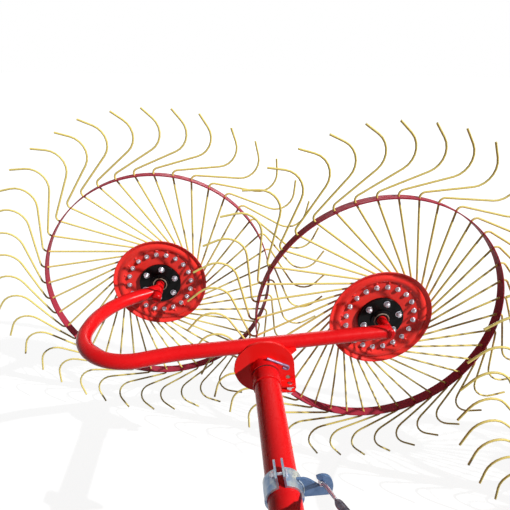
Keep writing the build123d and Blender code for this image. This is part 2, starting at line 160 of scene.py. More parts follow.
# Toolbar, spring posts, headstock and stands
BAR_HALF = 0.050
BAR_AHEAD = 1.550
BAR_OVERHANG = 0.220
BAR_SLOPE = math.atan2(PAIR_STEP, PAIR_PITCH)
BAR_SPAN = math.hypot(PAIR_PITCH, PAIR_STEP)
BRACKET_FACES = (-0.0675, -0.0555, 0.0555, 0.0675)
POST_ALONG = 0.090 / math.cos(BAR_SLOPE)
POST_HALF = 0.025
POST_HEIGHT = 0.440
NECK_ALONG = 1.115
NECK_LENGTH = 0.560
NECK_TURN = BAR_SLOPE + math.radians(25.0)
CROSSBAR_HALF = 0.040
HITCH_HALF = 0.3415
HITCH_PLATE = 0.014
HITCH_DROP = 0.100
MAST_FOOT = 0.190
STAND_ON_NECK = 0.300
STAND_PAST_END = 0.0315
STAND_SLEEVE_HALF = 0.0315
HINGE_WASHER = ((0.0153, 0.0676), (0.0230, 0.0676), (0.0230, 0.0701), (0.0153, 0.0701))

# Weld beads, by the radius of their drops
FINE_BEAD = 0.0026
HINGE_BEAD = 0.0032
FRAME_BEAD = 0.0034
HITCH_BEAD = 0.0038
CROSSBAR_BEAD = 0.0040
NECK_BEAD = 0.0042

# The photograph's camera, from the first wheel's centre
CAMERA_FROM_WHEEL = Vector((0.2515, -1.6571, 0.8584))
CAMERA_PITCH = -24.18
CAMERA_YAW = 4.79
CAMERA_ROLL = 0.82
CAMERA_LENS = 31.305
CAMERA_SENSOR = 36.0

# Light: the sun stands at the upper right, a broad lamp behind the wheels, and the rest is the pale surround
SUN_FROM = Vector((5.4, -3.5, 4.7))
SUN_STRENGTH = 4.3
SUN_WIDTH = 0.7
FILL_FROM = Vector((0.5, 8.5, 3.2))
FILL_POWER = 270
FILL_SIZE = 5.0
SURROUND_LIGHT = 0.06
FLOOR_GREY = 0.16
FLOOR_GLOW = 0.88


def wheel_centre(index):
    """Centre of a wheel's rim, in the wheel's plane."""
    low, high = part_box(f"wheel_{index + 1}_rim")
    return (low + high) / 2


FIRST_WHEEL = wheel_centre(0)
FACE_HEADSTOCK = Matrix.Rotation(math.radians(90), 4, "X")


# Places on the machine

def at(along, ahead, rise, pair=0):
    """Point along the wheels, ahead of the first wheel's plane and above its axle, for either pair."""
    return FIRST_WHEEL + Vector((along + pair * PAIR_PITCH, -ahead - pair * PAIR_STEP, rise))


def on_pivot(ahead, pair=0, degrees=0.0):
    """Place on the boom's axis, Z to the headstock and Y up, turned anticlockwise."""
    return (Matrix.Translation(at(PIVOT_ALONG, ahead, -PIVOT_DROP, pair)) @ FACE_HEADSTOCK
            @ Matrix.Rotation(math.radians(degrees), 4, "Z"))


def on_bar(along, ahead=0.0, rise=0.0):
    """Place on the toolbar's centreline, turned with the bar."""
    return (Matrix.Translation(at(PIVOT_ALONG, BAR_AHEAD, rise - PIVOT_DROP))
            @ Matrix.Rotation(-BAR_SLOPE, 4, "Z") @ Matrix.Translation((along, -ahead, 0)))


def on_neck(ahead, across=0.0, rise=0.0):
    """Place on the headstock's centreline, turned with the neck."""
    return (on_bar(NECK_ALONG, 0, rise) @ Matrix.Rotation(NECK_TURN, 4, "Z")
            @ Matrix.Translation((across, -ahead, 0)))


def turned(degrees):
    """Turn in a wheel's own plane, clockwise as the headstock sees it."""
    return Matrix.Rotation(-math.radians(degrees), 4, "Z")


def spaced(count, first_turn, circle, height):
    """Places at equal steps round a wheel's axle, all at one radius and height."""
    return [turned(first_turn + step * 360 / count) @ Matrix.Translation((0, circle, height))
            for step in range(count)]


def ring_points(place, radius, rise, degrees):
    """Points round the Z axis of a place."""
    return [place @ Vector((radius * math.cos(math.radians(turn)), radius * math.sin(math.radians(turn)), rise))
            for turn in degrees]


def corners(place, half_x, half_y):
    """Corners of a rectangle in the XY plane of a place."""
    return [place @ Vector((sx * half_x, sy * half_y, 0)) for sx, sy in ((-1, -1), (1, -1), (1, 1), (-1, 1))]


# Ways to make a piece

def edges_of(verts):
    """Edges at the vertices, each once and in the same order on every run."""
    return list(dict.fromkeys(edge for vert in verts for edge in vert.link_edges))


def lathe(bm, profile, steps=64):
    """Body of revolution about Z from a closed profile of (radius, height)."""
    verts = [bm.verts.new((radius, 0, height)) for radius, height in profile]
    edges = [bm.edges.new((verts[i], verts[(i + 1) % len(verts)])) for i in range(len(verts))]
    bmesh.ops.spin(bm, geom=verts + edges, axis=(0, 0, 1), cent=(0, 0, 0), angle=math.tau,
                   steps=steps, use_merge=True)
    bmesh.ops.remove_doubles(bm, verts=bm.verts, dist=1e-6)
    bmesh.ops.recalc_face_normals(bm, faces=bm.faces)


def eased(bm, edges, bevel):
    """Round the edges over in two facets."""
    bmesh.ops.bevel(bm, geom=edges, offset=bevel, offset_type="OFFSET", segments=2, profile=0.5,
                    affect="EDGES", material=-1)


def prism(bm, sides, radius, low, high, bevel):
    """Upright prism or cylinder between two heights, its rims eased."""
    made = bmesh.ops.create_cone(bm, cap_ends=True, segments=sides, radius1=radius, radius2=radius, depth=high - low)
    bmesh.ops.translate(bm, verts=made["verts"], vec=(0, 0, (low + high) / 2))
    rims = [edge for edge in edges_of(made["verts"]) if abs(edge.verts[0].co.z - edge.verts[1].co.z) < 1e-7]
    eased(bm, rims, bevel)


def square_cap(bm, size, place, bevel):
    """Plate of that size with eased edges."""
    made = bmesh.ops.create_cube(bm, size=1, matrix=place @ Matrix.Diagonal((*size, 1)))
    eased(bm, edges_of(made["verts"]), bevel)


def bent_wire(bm, radius, start, heading, route):
    """Round wire that starts at a point and follows runs and bends; a bend is (radius, degrees, axis)."""
    heading = heading.normalized()
    place = Matrix.Translation(start) @ heading.to_track_quat("Z", "Y").to_matrix().to_4x4()
    ring = bmesh.ops.create_circle(bm, segments=8, radius=radius, matrix=place)["verts"]
    first = edges = edges_of(ring)
    point = start.copy()
    for step in route:
        if isinstance(step, float):
            grown = bmesh.ops.extrude_edge_only(bm, edges=edges)["geom"]
            verts = [item for item in grown if isinstance(item, bmesh.types.BMVert)]
            edges = [item for item in grown if isinstance(item, bmesh.types.BMEdge)]
            edges = [edge for edge in edges if edge.verts[0] in verts and edge.verts[1] in verts]
            bmesh.ops.translate(bm, verts=verts, vec=heading * step)
            point += heading * step
        else:
            bend, degrees, axis = step
            axis = axis.normalized() * math.copysign(1, degrees)
            centre = point + axis.cross(heading) * bend
            angle = math.radians(abs(degrees))
            steps = max(2, round(abs(degrees) / 15))
            grown = bmesh.ops.spin(bm, geom=edges, axis=axis, cent=centre, angle=angle, steps=steps)["geom_last"]
            edges = [item for item in grown if isinstance(item, bmesh.types.BMEdge)]
            spin = Matrix.Rotation(angle, 3, axis)
            point = centre + spin @ (point - centre)
            heading = spin @ heading
    for rim in (first, edges):
        bmesh.ops.contextual_create(bm, geom=rim)


def weld_bead(bm, route, size, closed=False):
    """Bead of overlapping drops along a route of points."""
    for first, second in zip(route, route[1:] + route[:1] if closed else route[1:]):
        run = second - first
        count = max(1, round(run.length / (size * 0.85)))
        for step in range(count):
            place = Matrix.Translation(first + run * (step / count))
            bmesh.ops.create_icosphere(bm, subdivisions=1, radius=size * random.uniform(0.92, 1.12), matrix=place)


def take_in(bm, piece):
    """Add one bmesh to another; the added one is used up."""
    mesh = bpy.data.meshes.new("piece")
    piece.to_mesh(mesh)
    piece.free()
    bm.from_mesh(mesh)
    bpy.data.meshes.remove(mesh)


def copies(shape, matrices):
    """One bmesh with the shape repeated at each matrix; the shape is used up."""
    mesh = bpy.data.meshes.new("shape")
    shape.to_mesh(mesh)
    shape.free()
    joined = bmesh.new()
    for matrix in matrices:
        part = mesh.copy()
        part.transform(matrix)
        joined.from_mesh(part)
        bpy.data.meshes.remove(part)
    bpy.data.meshes.remove(mesh)
    return joined


def finished(name, bm, material, body, matrix=None, sharp=35):
    """Object from a bmesh, smooth up to a sharp angle, riding on a body."""
    if matrix is not None:
        bmesh.ops.transform(bm, matrix=matrix, verts=bm.verts)
    mesh = bpy.data.meshes.new(name)
    bm.to_mesh(mesh)
    bm.free()
    mesh.materials.append(material)
    mesh.shade_smooth()
    mesh.set_sharp_from_angle(angle=math.radians(sharp))
    obj = bpy.data.objects.new(name, mesh)
    bpy.context.scene.collection.objects.link(obj)
    if body:
        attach(obj, body)
    return obj


# Materials

def group(name, inputs, outputs):
    """Empty shader node group with named sockets, and its own input and output nodes."""
    tree = bpy.data.node_groups.new(name, "ShaderNodeTree")
    for socket, kind, value in inputs:
        made = tree.interface.new_socket(socket, in_out="INPUT", socket_type=kind)
        made.default_value = value
    for socket, kind in outputs:
        tree.interface.new_socket(socket, in_out="OUTPUT", socket_type=kind)
    return tree, tree.nodes.new("NodeGroupInput"), tree.nodes.new("NodeGroupOutput")


def feed(tree, socket, value):
    """Give an input its value, or link it to another socket."""
    if isinstance(value, bpy.types.NodeSocket):
        tree.links.new(value, socket)
    else:
        socket.default_value = value


def object_point(tree):
    """Object coordinates."""
    return tree.nodes.new("ShaderNodeTexCoord").outputs["Object"]


def noise(tree, scale, detail=4.0, roughness=0.5, point=None):
    """Noise at a point, on object coordinates unless another point is given."""
    made = tree.nodes.new("ShaderNodeTexNoise")
    made.inputs["Scale"].default_value = scale
    made.inputs["Detail"].default_value = detail
    made.inputs["Roughness"].default_value = roughness
    tree.links.new(object_point(tree) if point is None else point, made.inputs["Vector"])
    return made.outputs["Fac"]


def span(tree, value, low, high, out_low=0.0, out_high=1.0):
    """Value mapped from one range to another, clamped."""
    made = tree.nodes.new("ShaderNodeMapRange")
    for socket, number in (("From Min", low), ("From Max", high), ("To Min", out_low), ("To Max", out_high)):
        made.inputs[socket].default_value = number
    tree.links.new(value, made.inputs["Value"])
    return made.outputs["Result"]


def maths(tree, operation, first, second):
    """Arithmetic on two values, each a socket or a number."""
    made = tree.nodes.new("ShaderNodeMath")
    made.operation = operation
    feed(tree, made.inputs[0], first)
    feed(tree, made.inputs[1], second)
    return made.outputs[0]


def mixed(tree, factor, first, second):
    """Two colours mixed by a factor."""
    made = tree.nodes.new("ShaderNodeMix")
    made.data_type = "RGBA"
    tree.links.new(factor, made.inputs["Factor"])
    tree.links.new(first, made.inputs[6])
    tree.links.new(second, made.inputs[7])
    return made.outputs[2]


def softened_bump(tree, strength, distance, height, edge):
    """Normal of a fine bump over edges that look rounded by the edge radius."""
    bump = tree.nodes.new("ShaderNodeBump")
    bump.inputs["Distance"].default_value = distance
    feed(tree, bump.inputs["Strength"], strength)
    tree.links.new(height, bump.inputs["Height"])
    softened = tree.nodes.new("ShaderNodeBevel")
    softened.samples = 4
    softened.inputs["Radius"].default_value = edge
    tree.links.new(softened.outputs["Normal"], bump.inputs["Normal"])
    return bump.outputs["Normal"]


def edge_wear_group():
    """Mask of rubbed edges: where a rounded normal leaves the true one, broken up by noise."""
    tree, given, out = group("edge_wear", [("Amount", "NodeSocketFloat", 0.5)], [("Mask", "NodeSocketFloat")])
    bevel = tree.nodes.new("ShaderNodeBevel")
    bevel.samples = 4
    bevel.inputs["Radius"].default_value = 0.0025
    geometry = tree.nodes.new("ShaderNodeNewGeometry")
    dot = tree.nodes.new("ShaderNodeVectorMath")
    dot.operation = "DOT_PRODUCT"
    tree.links.new(bevel.outputs["Normal"], dot.inputs[0])
    tree.links.new(geometry.outputs["Normal"], dot.inputs[1])
    edge = span(tree, dot.outputs["Value"], 0.985, 0.90)
    broken = span(tree, noise(tree, 90, 6, 0.65), 0.50, 0.62)
    mask = maths(tree, "MULTIPLY", maths(tree, "MULTIPLY", edge, broken), given.outputs["Amount"])
    tree.links.new(mask, out.inputs["Mask"])
    return tree


def paint_film_group():
    """Sprayed paint: slow colour drift, faint dust on top faces, fine scratches and orange peel."""
    tree, given, out = group(
        "paint_film",
        [("Paint", "NodeSocketColor", (0.5, 0.5, 0.5, 1)), ("Faded", "NodeSocketColor", (0.6, 0.6, 0.6, 1)),
         ("Bare", "NodeSocketColor", (0.2, 0.18, 0.16, 1)), ("Gloss", "NodeSocketFloat", 0.3),
         ("Wear", "NodeSocketFloat", 0.5), ("Peel", "NodeSocketFloat", 0.05)],
        [("Color", "NodeSocketColor"), ("Roughness", "NodeSocketFloat"), ("Normal", "NodeSocketVector")])
    drift = span(tree, noise(tree, 5.5, 3), 0.35, 0.75)
    geometry = tree.nodes.new("ShaderNodeNewGeometry")
    split = tree.nodes.new("ShaderNodeSeparateXYZ")
    tree.links.new(geometry.outputs["Normal"], split.inputs[0])
    top = span(tree, split.outputs["Z"], 0.2, 1.0, 0.0, 0.30)
    dust = maths(tree, "MULTIPLY", top, span(tree, noise(tree, 38, 8, 0.7), 0.42, 0.70))
    colour = mixed(tree, maths(tree, "MULTIPLY", drift, 0.30), given.outputs["Paint"], given.outputs["Faded"])
    colour = mixed(tree, maths(tree, "MULTIPLY", dust, 0.5), colour, given.outputs["Faded"])
    stretch = tree.nodes.new("ShaderNodeMapping")
    stretch.inputs["Scale"].default_value = (0.06, 1.0, 1.0)
    stretch.inputs["Rotation"].default_value = (0.4, 0.9, 0.3)
    tree.links.new(object_point(tree), stretch.inputs["Vector"])
    lines = span(tree, noise(tree, 420, 2, 0.5, stretch.outputs["Vector"]), 0.70, 0.76)
    patches = span(tree, noise(tree, 9, 3), 0.52, 0.66)
    scratch = maths(tree, "MULTIPLY", maths(tree, "MULTIPLY", lines, patches), given.outputs["Wear"])
    wear = tree.nodes.new("ShaderNodeGroup")
    wear.node_tree = edge_wear_group()
    tree.links.new(given.outputs["Wear"], wear.inputs["Amount"])
    colour = mixed(tree, maths(tree, "MULTIPLY", scratch, 0.6), colour, given.outputs["Faded"])
    colour = mixed(tree, wear.outputs["Mask"], colour, given.outputs["Bare"])
    rough = maths(tree, "ADD", given.outputs["Gloss"], maths(tree, "MULTIPLY", dust, 0.9))
    rough = maths(tree, "ADD", rough, maths(tree, "MULTIPLY", scratch, 0.25))
    normal = softened_bump(tree, given.outputs["Peel"], 0.001, noise(tree, 260, 2), 0.0016)
    for result, socket in ((colour, "Color"), (rough, "Roughness"), (normal, "Normal")):
        tree.links.new(result, out.inputs[socket])
    return tree


def plating_group():
    """Zinc or bare steel: cloudy spangle, fine pitting and dull patches."""
    tree, given, out = group(
        "plating",
        [("Light", "NodeSocketColor", (0.7, 0.7, 0.7, 1)), ("Dark", "NodeSocketColor", (0.4, 0.4, 0.4, 1)),
         ("Scale", "NodeSocketFloat", 60.0), ("Gloss", "NodeSocketFloat", 0.3)],
        [("Color", "NodeSocketColor"), ("Roughness", "NodeSocketFloat"), ("Normal", "NodeSocketVector")])
    cells = tree.nodes.new("ShaderNodeTexVoronoi")
    tree.links.new(object_point(tree), cells.inputs["Vector"])
    tree.links.new(given.outputs["Scale"], cells.inputs["Scale"])
    split = tree.nodes.new("ShaderNodeSeparateColor")
    tree.links.new(cells.outputs["Color"], split.inputs[0])
    broad = span(tree, noise(tree, 24, 5), 0.34, 0.66)
    cloud = maths(tree, "ADD", maths(tree, "MULTIPLY", split.outputs[0], 0.35), maths(tree, "MULTIPLY", broad, 0.65))
    colour = mixed(tree, cloud, given.outputs["Light"], given.outputs["Dark"])
    rough = maths(tree, "ADD", given.outputs["Gloss"], maths(tree, "MULTIPLY", cloud, 0.25))
    normal = softened_bump(tree, 0.12, 0.0006, noise(tree, 700, 3, 0.6), 0.0010)
    for result, socket in ((colour, "Color"), (rough, "Roughness"), (normal, "Normal")):
        tree.links.new(result, out.inputs[socket])
    return tree


def surface(name, kind, settings, metallic, specular):
    """Principled material fed by one of the shared groups."""
    material = bpy.data.materials.new(name)
    material.use_nodes = True
    tree = material.node_tree
    shader = tree.nodes["Principled BSDF"]
    shader.inputs["Metallic"].default_value = metallic
    shader.inputs["Specular IOR Level"].default_value = specular
    finish = tree.nodes.new("ShaderNodeGroup")
    finish.node_tree = kind
    for socket, value in settings.items():
        finish.inputs[socket].default_value = (*value, 1) if isinstance(value, tuple) else value
    for result, socket in (("Color", "Base Color"), ("Roughness", "Roughness"), ("Normal", "Normal")):
        tree.links.new(finish.outputs[result], shader.inputs[socket])
    return material


PAINT = paint_film_group()
PLATING = plating_group()


def painted(name, fresh, faded, bare, gloss, wear, peel, specular):
    """Sprayed finish, from the colours of its fresh, faded and rubbed paint."""
    return surface(name, PAINT, {"Paint": fresh, "Faded": faded, "Bare": bare, "Gloss": gloss, "Wear": wear,
                                 "Peel": peel}, 0.0, specular)


def plated(name, light, dark, scale, gloss, metallic, specular=0.5):
    """Metal finish, from the two colours of its clouds."""
    return surface(name, PLATING, {"Light": light, "Dark": dark, "Scale": scale, "Gloss": gloss}, metallic, specular)


RED = painted("red_enamel", (0.73, 0.005, 0.008), (0.80, 0.020, 0.018), (0.34, 0.05, 0.04),
              gloss=0.24, wear=0.45, peel=0.04, specular=0.12)
# Lighter copy of the frame red for the rocker pivot plates: painted light for a face that gets less sun than the
# beams. Its pale rubbed-edge colour and high wear add painted highlight lines along the plate's edges on top of real
# edge wear.
PLATE_RED_PAINTED_LIGHT = painted("plate_red_painted_light", (0.90, 0.008, 0.007), (0.92, 0.040, 0.035), (0.62, 0.20, 0.17),
                    gloss=0.26, wear=0.9, peel=0.04, specular=0.12)
# Lighter, slightly orange copy of the frame red for discs and backing rings: painted light where they face away from
# the sun, and a painted sky reflection.
DISC_RED_PAINTED_LIGHT = painted("disc_red_painted_light", (0.88, 0.030, 0.024), (0.93, 0.075, 0.050), (0.30, 0.05, 0.04),
                   gloss=0.24, wear=0.45, peel=0.05, specular=0.20)
RIM_RED = painted("rim_dark_red", (0.36, 0.026, 0.050), (0.46, 0.062, 0.092), (0.09, 0.04, 0.04),
                  gloss=0.40, wear=0.5, peel=0.05, specular=0.02)
YELLOW = painted("tine_yellow", (0.82, 0.66, 0.17), (0.88, 0.78, 0.34), (0.20, 0.12, 0.05),
                 gloss=0.30, wear=0.6, peel=0.03, specular=0.22)
BLACK = painted("hub_black", (0.004, 0.004, 0.004), (0.009, 0.009, 0.010), (0.05, 0.045, 0.045),
                gloss=0.24, wear=0.4, peel=0.06, specular=0.10)
CAP = painted("cap_black", (0.010, 0.010, 0.010), (0.030, 0.030, 0.030), (0.04, 0.04, 0.04),
              gloss=0.5, wear=0.3, peel=0.15, specular=0.3)
# Zinc with its own cloudy spangle. The grey-green light clouds and the blue dark clouds are painted reflections of
# the ground and the sky.
ZINC_PAINTED_REFLECTION = plated("galvanised_band_painted_reflection", (0.62, 0.65, 0.60), (0.06, 0.17, 0.38), scale=70.0, gloss=0.22, metallic=0.65)
DULL = plated("dull_zinc", (0.30, 0.19, 0.29), (0.13, 0.08, 0.15), scale=120.0, gloss=0.30, metallic=0.35,
              specular=0.3)
BLUED = plated("blued_zinc_plate", (0.115, 0.205, 0.375), (0.055, 0.115, 0.235), scale=110.0, gloss=0.32,
               metallic=0.35, specular=0.4)
BOLT = plated("bright_bolt", (0.70, 0.70, 0.75), (0.30, 0.29, 0.34), scale=160.0, gloss=0.20, metallic=1.0)
STEEL = plated("spring_steel", (0.13, 0.12, 0.15), (0.035, 0.03, 0.045), scale=120.0, gloss=0.22, metallic=0.9)
SEAL = plated("seal_grey_brown", (0.42, 0.34, 0.26), (0.20, 0.16, 0.12), scale=200.0, gloss=0.50, metallic=0.0,
              specular=0.2)


# Raking wheels

def tine_crown():
    """Wire tines on their backing ring; each wire is sprung a little out of its place."""
    bm = bmesh.new()
    lean = math.asin(SPOKE_OFFSET / RIM_RADIUS)
    outward = Vector((-math.sin(lean), math.cos(lean), 0))
    start = Vector((0, RIM_RADIUS, 0)) - outward * (RIM_RADIUS * math.cos(lean) - SPOKE_END)
    bend_turn = 90 + math.degrees(lean) - ARM_RISE
    trim = RIM_BEND * math.tan(math.radians(bend_turn / 2))
    tip_trim = TIP_BEND * math.tan(math.radians(TIP_TURN / 2))
    spoke = RIM_RADIUS * math.cos(lean) - SPOKE_END + KICK_OUT - trim
    normal = Vector((0, 0, 1))
    for tine in range(TINES):
        before = len(bm.verts)
        arm = (ARM_LENGTH - trim - tip_trim) * random.uniform(0.96, 1.0)
        tip = (TIP_LENGTH - tip_trim) * random.uniform(0.94, 1.0)
        bent_wire(bm, WIRE_RADIUS, start, outward,
                  [spoke, (RIM_BEND, -bend_turn + random.uniform(-1.5, 1.5), normal), arm,
                   (TIP_BEND, TIP_TURN + random.uniform(-2.0, 2.0), normal), tip])
        bm.verts.ensure_lookup_table()
        made = bm.verts[before:]
        droop = Matrix.Rotation(math.radians(random.uniform(-0.8, 0.8)), 4, outward)
        rim = Matrix.Translation((0, RIM_RADIUS, 0))
        outside = [vert for vert in made if vert.co.length > RIM_RADIUS + RIM_THICKNESS]
        bmesh.ops.transform(bm, matrix=rim @ droop @ rim.inverted(), verts=outside)
        bmesh.ops.transform(bm, matrix=turned(tine * 360 / TINES), verts=made)
    return bm


def backing_ring():
    """Rear ring that clamps the wires to the disc."""
    bm = bmesh.new()
    edge = 0.001
    lathe(bm, [(BACKING_INNER, BACKING_BACK), (BACKING_OUTER - edge, BACKING_BACK),
               (BACKING_OUTER, BACKING_BACK + edge), (BACKING_OUTER, BACKING_FRONT - edge),
               (BACKING_OUTER - edge, BACKING_FRONT), (BACKING_INNER, BACKING_FRONT)], 72)
    return bm


def pressed_disc():
    """Front disc: flat floor, a rolled bead, a valley and a raised lip, with a pip outside each bolt."""
    bm = bmesh.new()
    front = [(radius, DISC_FRONT + rise) for radius, rise in DISC_PROFILE]
    sheet = DISC_FRONT - DISC_BACK
    back = [(radius, height - sheet) for radius, height in reversed(front)]
    lathe(bm, front + back, 96)
    pip = bmesh.new()
    bmesh.ops.create_icosphere(pip, subdivisions=2, radius=1)
    bmesh.ops.scale(pip, vec=PIP_SIZE, verts=pip.verts)
    take_in(bm, copies(pip, spaced(DISC_BOLTS, DISC_BOLT_TURN, PIP_CIRCLE, PIP_HEIGHT)))
    return bm


def hub_cover():
    """Thin round plate under the heads of the hub's bolts."""
    bm = bmesh.new()
    edge = 0.0008
    lathe(bm, [(HUB_COVER_INNER, HUB_PLATE_FRONT), (HUB_COVER_OUTER, HUB_PLATE_FRONT),
               (HUB_COVER_OUTER, HUB_COVER_FRONT - edge), (HUB_COVER_OUTER - edge, HUB_COVER_FRONT),
               (HUB_COVER_INNER, HUB_COVER_FRONT)], 72)
    return bm


def seal_ring():
    """Rubber lip between the hub and the axle stub."""
    bm = bmesh.new()
    lathe(bm, [(SEAL_INNER, HUB_FRONT - 0.001), (SEAL_OUTER, HUB_FRONT - 0.001), (SEAL_OUTER, HUB_FRONT + 0.0018),
               (0.0277, HUB_FRONT + 0.0030), (0.0255, HUB_FRONT + 0.0030), (SEAL_INNER, HUB_FRONT + 0.0018)], 40)
    return bm


def hex_bolt(size, stand, washer):
    """Hexagon nut on a washer with the screw's domed end standing out, height from the plate."""
    bm = bmesh.new()
    washer_top, nut_top = stand * 0.14, stand * 0.62
    prism(bm, 20, washer, 0, washer_top, 0.0004)
    prism(bm, 6, size, washer_top, nut_top, 0.0010)
    dome = Matrix.Translation((0, 0, nut_top)) @ Matrix.Diagonal((size * 0.80, size * 0.80, stand * 0.38, 1))
    bmesh.ops.create_uvsphere(bm, u_segments=14, v_segments=8, radius=1, matrix=dome)
    return bm


def wheel(index):
    """Everything on one raking wheel."""
    name = f"wheel_{index + 1}"
    place = Matrix.Translation(wheel_centre(index)) @ FACE_HEADSTOCK @ turned(WHEEL_TURNS[index])
    crown = finished(f"{name}_wires", tine_crown(), YELLOW, name, place)
    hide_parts(f"{name}_tines")
    # Backing ring and disc take the lightened red that paints light on them.
    finished(f"{name}_backing_ring", backing_ring(), DISC_RED_PAINTED_LIGHT, name, place)
    disc = finished(f"{name}_pressed_disc", pressed_disc(), DISC_RED_PAINTED_LIGHT, name, place)
    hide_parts(f"{name}_disc")
    bolts = copies(hex_bolt(*DISC_BOLT), spaced(DISC_BOLTS, DISC_BOLT_TURN, DISC_BOLT_CIRCLE, DISC_FRONT))
    finished(f"{name}_disc_bolts", bolts, BOLT, name, place)
    rear = Matrix.Rotation(math.pi, 4, "X")
    nuts = [spot @ rear for spot in spaced(DISC_BOLTS, DISC_BOLT_TURN, DISC_BOLT_CIRCLE, BACKING_BACK)]
    finished(f"{name}_rear_nuts", copies(hex_bolt(*REAR_NUT), nuts), BOLT, name, place)
    finished(f"{name}_hub_cover", hub_cover(), BLACK, name, place)
    studs = copies(hex_bolt(*HUB_BOLT), spaced(HUB_BOLTS, HUB_BOLT_TURN, HUB_BOLT_CIRCLE, HUB_COVER_FRONT))
    finished(f"{name}_hub_bolts", studs, BOLT, name, place)
    finished(f"{name}_seal", seal_ring(), SEAL, name, place)


# Colours of the frame's own nodes

def paint_nodes():
    """Every visible frame node gets the finish of its slot."""
    finishes = {"frame_red": RED, "rim_dark_red": RIM_RED, "tine_yellow": YELLOW, "hub_black": BLACK,
                "zinc_plate": ZINC_PAINTED_REFLECTION}
    # The pivot plates take the lightened red that paints light and edge highlights on them.
    own = {"_hook": BLUED, "_pin": DULL, "_pivot": PLATE_RED_PAINTED_LIGHT}
    slots = {entry["node"]: entry["material_slot"] for entry in frame["record"]["subparts"]}
    for node, obj in frame["nodes"].items():
        obj.data.materials.clear()
        finish = next((kind for ending, kind in own.items() if node.endswith(ending)), finishes[slots[node]])
        obj.data.materials.append(finish)


# Rockers

def stub_weld(bm, seat, heading, pair, signs):
    """Bead round an axle stub where it stands out of the beam's round end."""
    for sign in signs:
        route = []
        for step in range(25):
            turn = math.radians(-100 + step * 200 / 24)
            side = math.cos(turn) * STUB_RADIUS * math.copysign(1, heading.x)
            rise = math.sin(turn) * STUB_RADIUS
            # Where this line of the stub is one beam radius from the beam's axis
            along = side * heading.x
            square = 1 - heading.y ** 2
            linear = -2 * along * heading.y
            constant = STUB_RADIUS ** 2 - along ** 2 - BEAM_RADIUS ** 2
            root = math.sqrt(max(linear * linear - 4 * square * constant, 0))
            reach = (-linear + sign * root) / (2 * square)
            route.append(at(seat.x + side, seat.y + reach, rise, pair))
        weld_bead(bm, route, FINE_BEAD)


def rocker(side, pair):
    """Welds, beam ends, stop bolt and the pin in the lug of one rocker."""
    body = f"rocker_{side}"
    near, far = Vector((WHEEL_PITCH, WHEEL_STEP + NEAR_SEAT)), Vector((0, FAR_SEAT))
    to_knee = (Vector(KNEE) - near).normalized()
    to_return = (Vector(RETURN) - far).normalized()
    bm = bmesh.new()
    stub_weld(bm, near, to_knee, pair, (-1,))
    stub_weld(bm, far, to_return, pair, (-1, 1))
    finished(f"{body}_welds", bm, RED, body, sharp=60)
    end = bmesh.new()
    prism(end, 40, BEAM_RADIUS - 0.0004, -0.001, 0.003, 0.001)
    places = []
    for seat, heading in ((near, to_knee), (far, to_return)):
        away = Vector((-heading.x, heading.y, 0))
        places.append(Matrix.Translation(at(seat.x, seat.y, 0, pair))
                      @ away.to_track_quat("Z", "Y").to_matrix().to_4x4())
    finished(f"{body}_beam_ends", copies(end, places), RED, body)
    stop = bmesh.new()
    shank, head, lock_nut = 0.0080, 0.0120, 0.0138
    prism(stop, 20, shank, EAR_LOW - 0.0120, EAR_TOP + 0.0012, 0.0010)
    prism(stop, 6, head, EAR_LOW - 0.0085, EAR_LOW, 0.0012)
    prism(stop, 6, lock_nut, EAR_GAP_LOW, EAR_GAP_LOW + 0.0130, 0.0014)
    bmesh.ops.rotate(stop, cent=(0, 0, 0), matrix=Matrix.Rotation(math.radians(12), 3, "Z"), verts=stop.verts)
    place = at(PIVOT_ALONG + STOP_BOLT[0], PIVOT_AHEAD + PIVOT_PLATE + STOP_BOLT[1], -PIVOT_DROP, pair)
    finished(f"{body}_stop_bolt", stop, BOLT, body, Matrix.Translation(place))
    plug = bmesh.new()
    prism(plug, 24, 0.0078, 0.0005, PIVOT_PLATE - 0.0012, 0.0008)
    finished(f"{body}_lug_pin", plug, SEAL, body,
             on_pivot(PIVOT_AHEAD, pair) @ Matrix.Translation((*LUG_HOLE, 0)))


# Booms

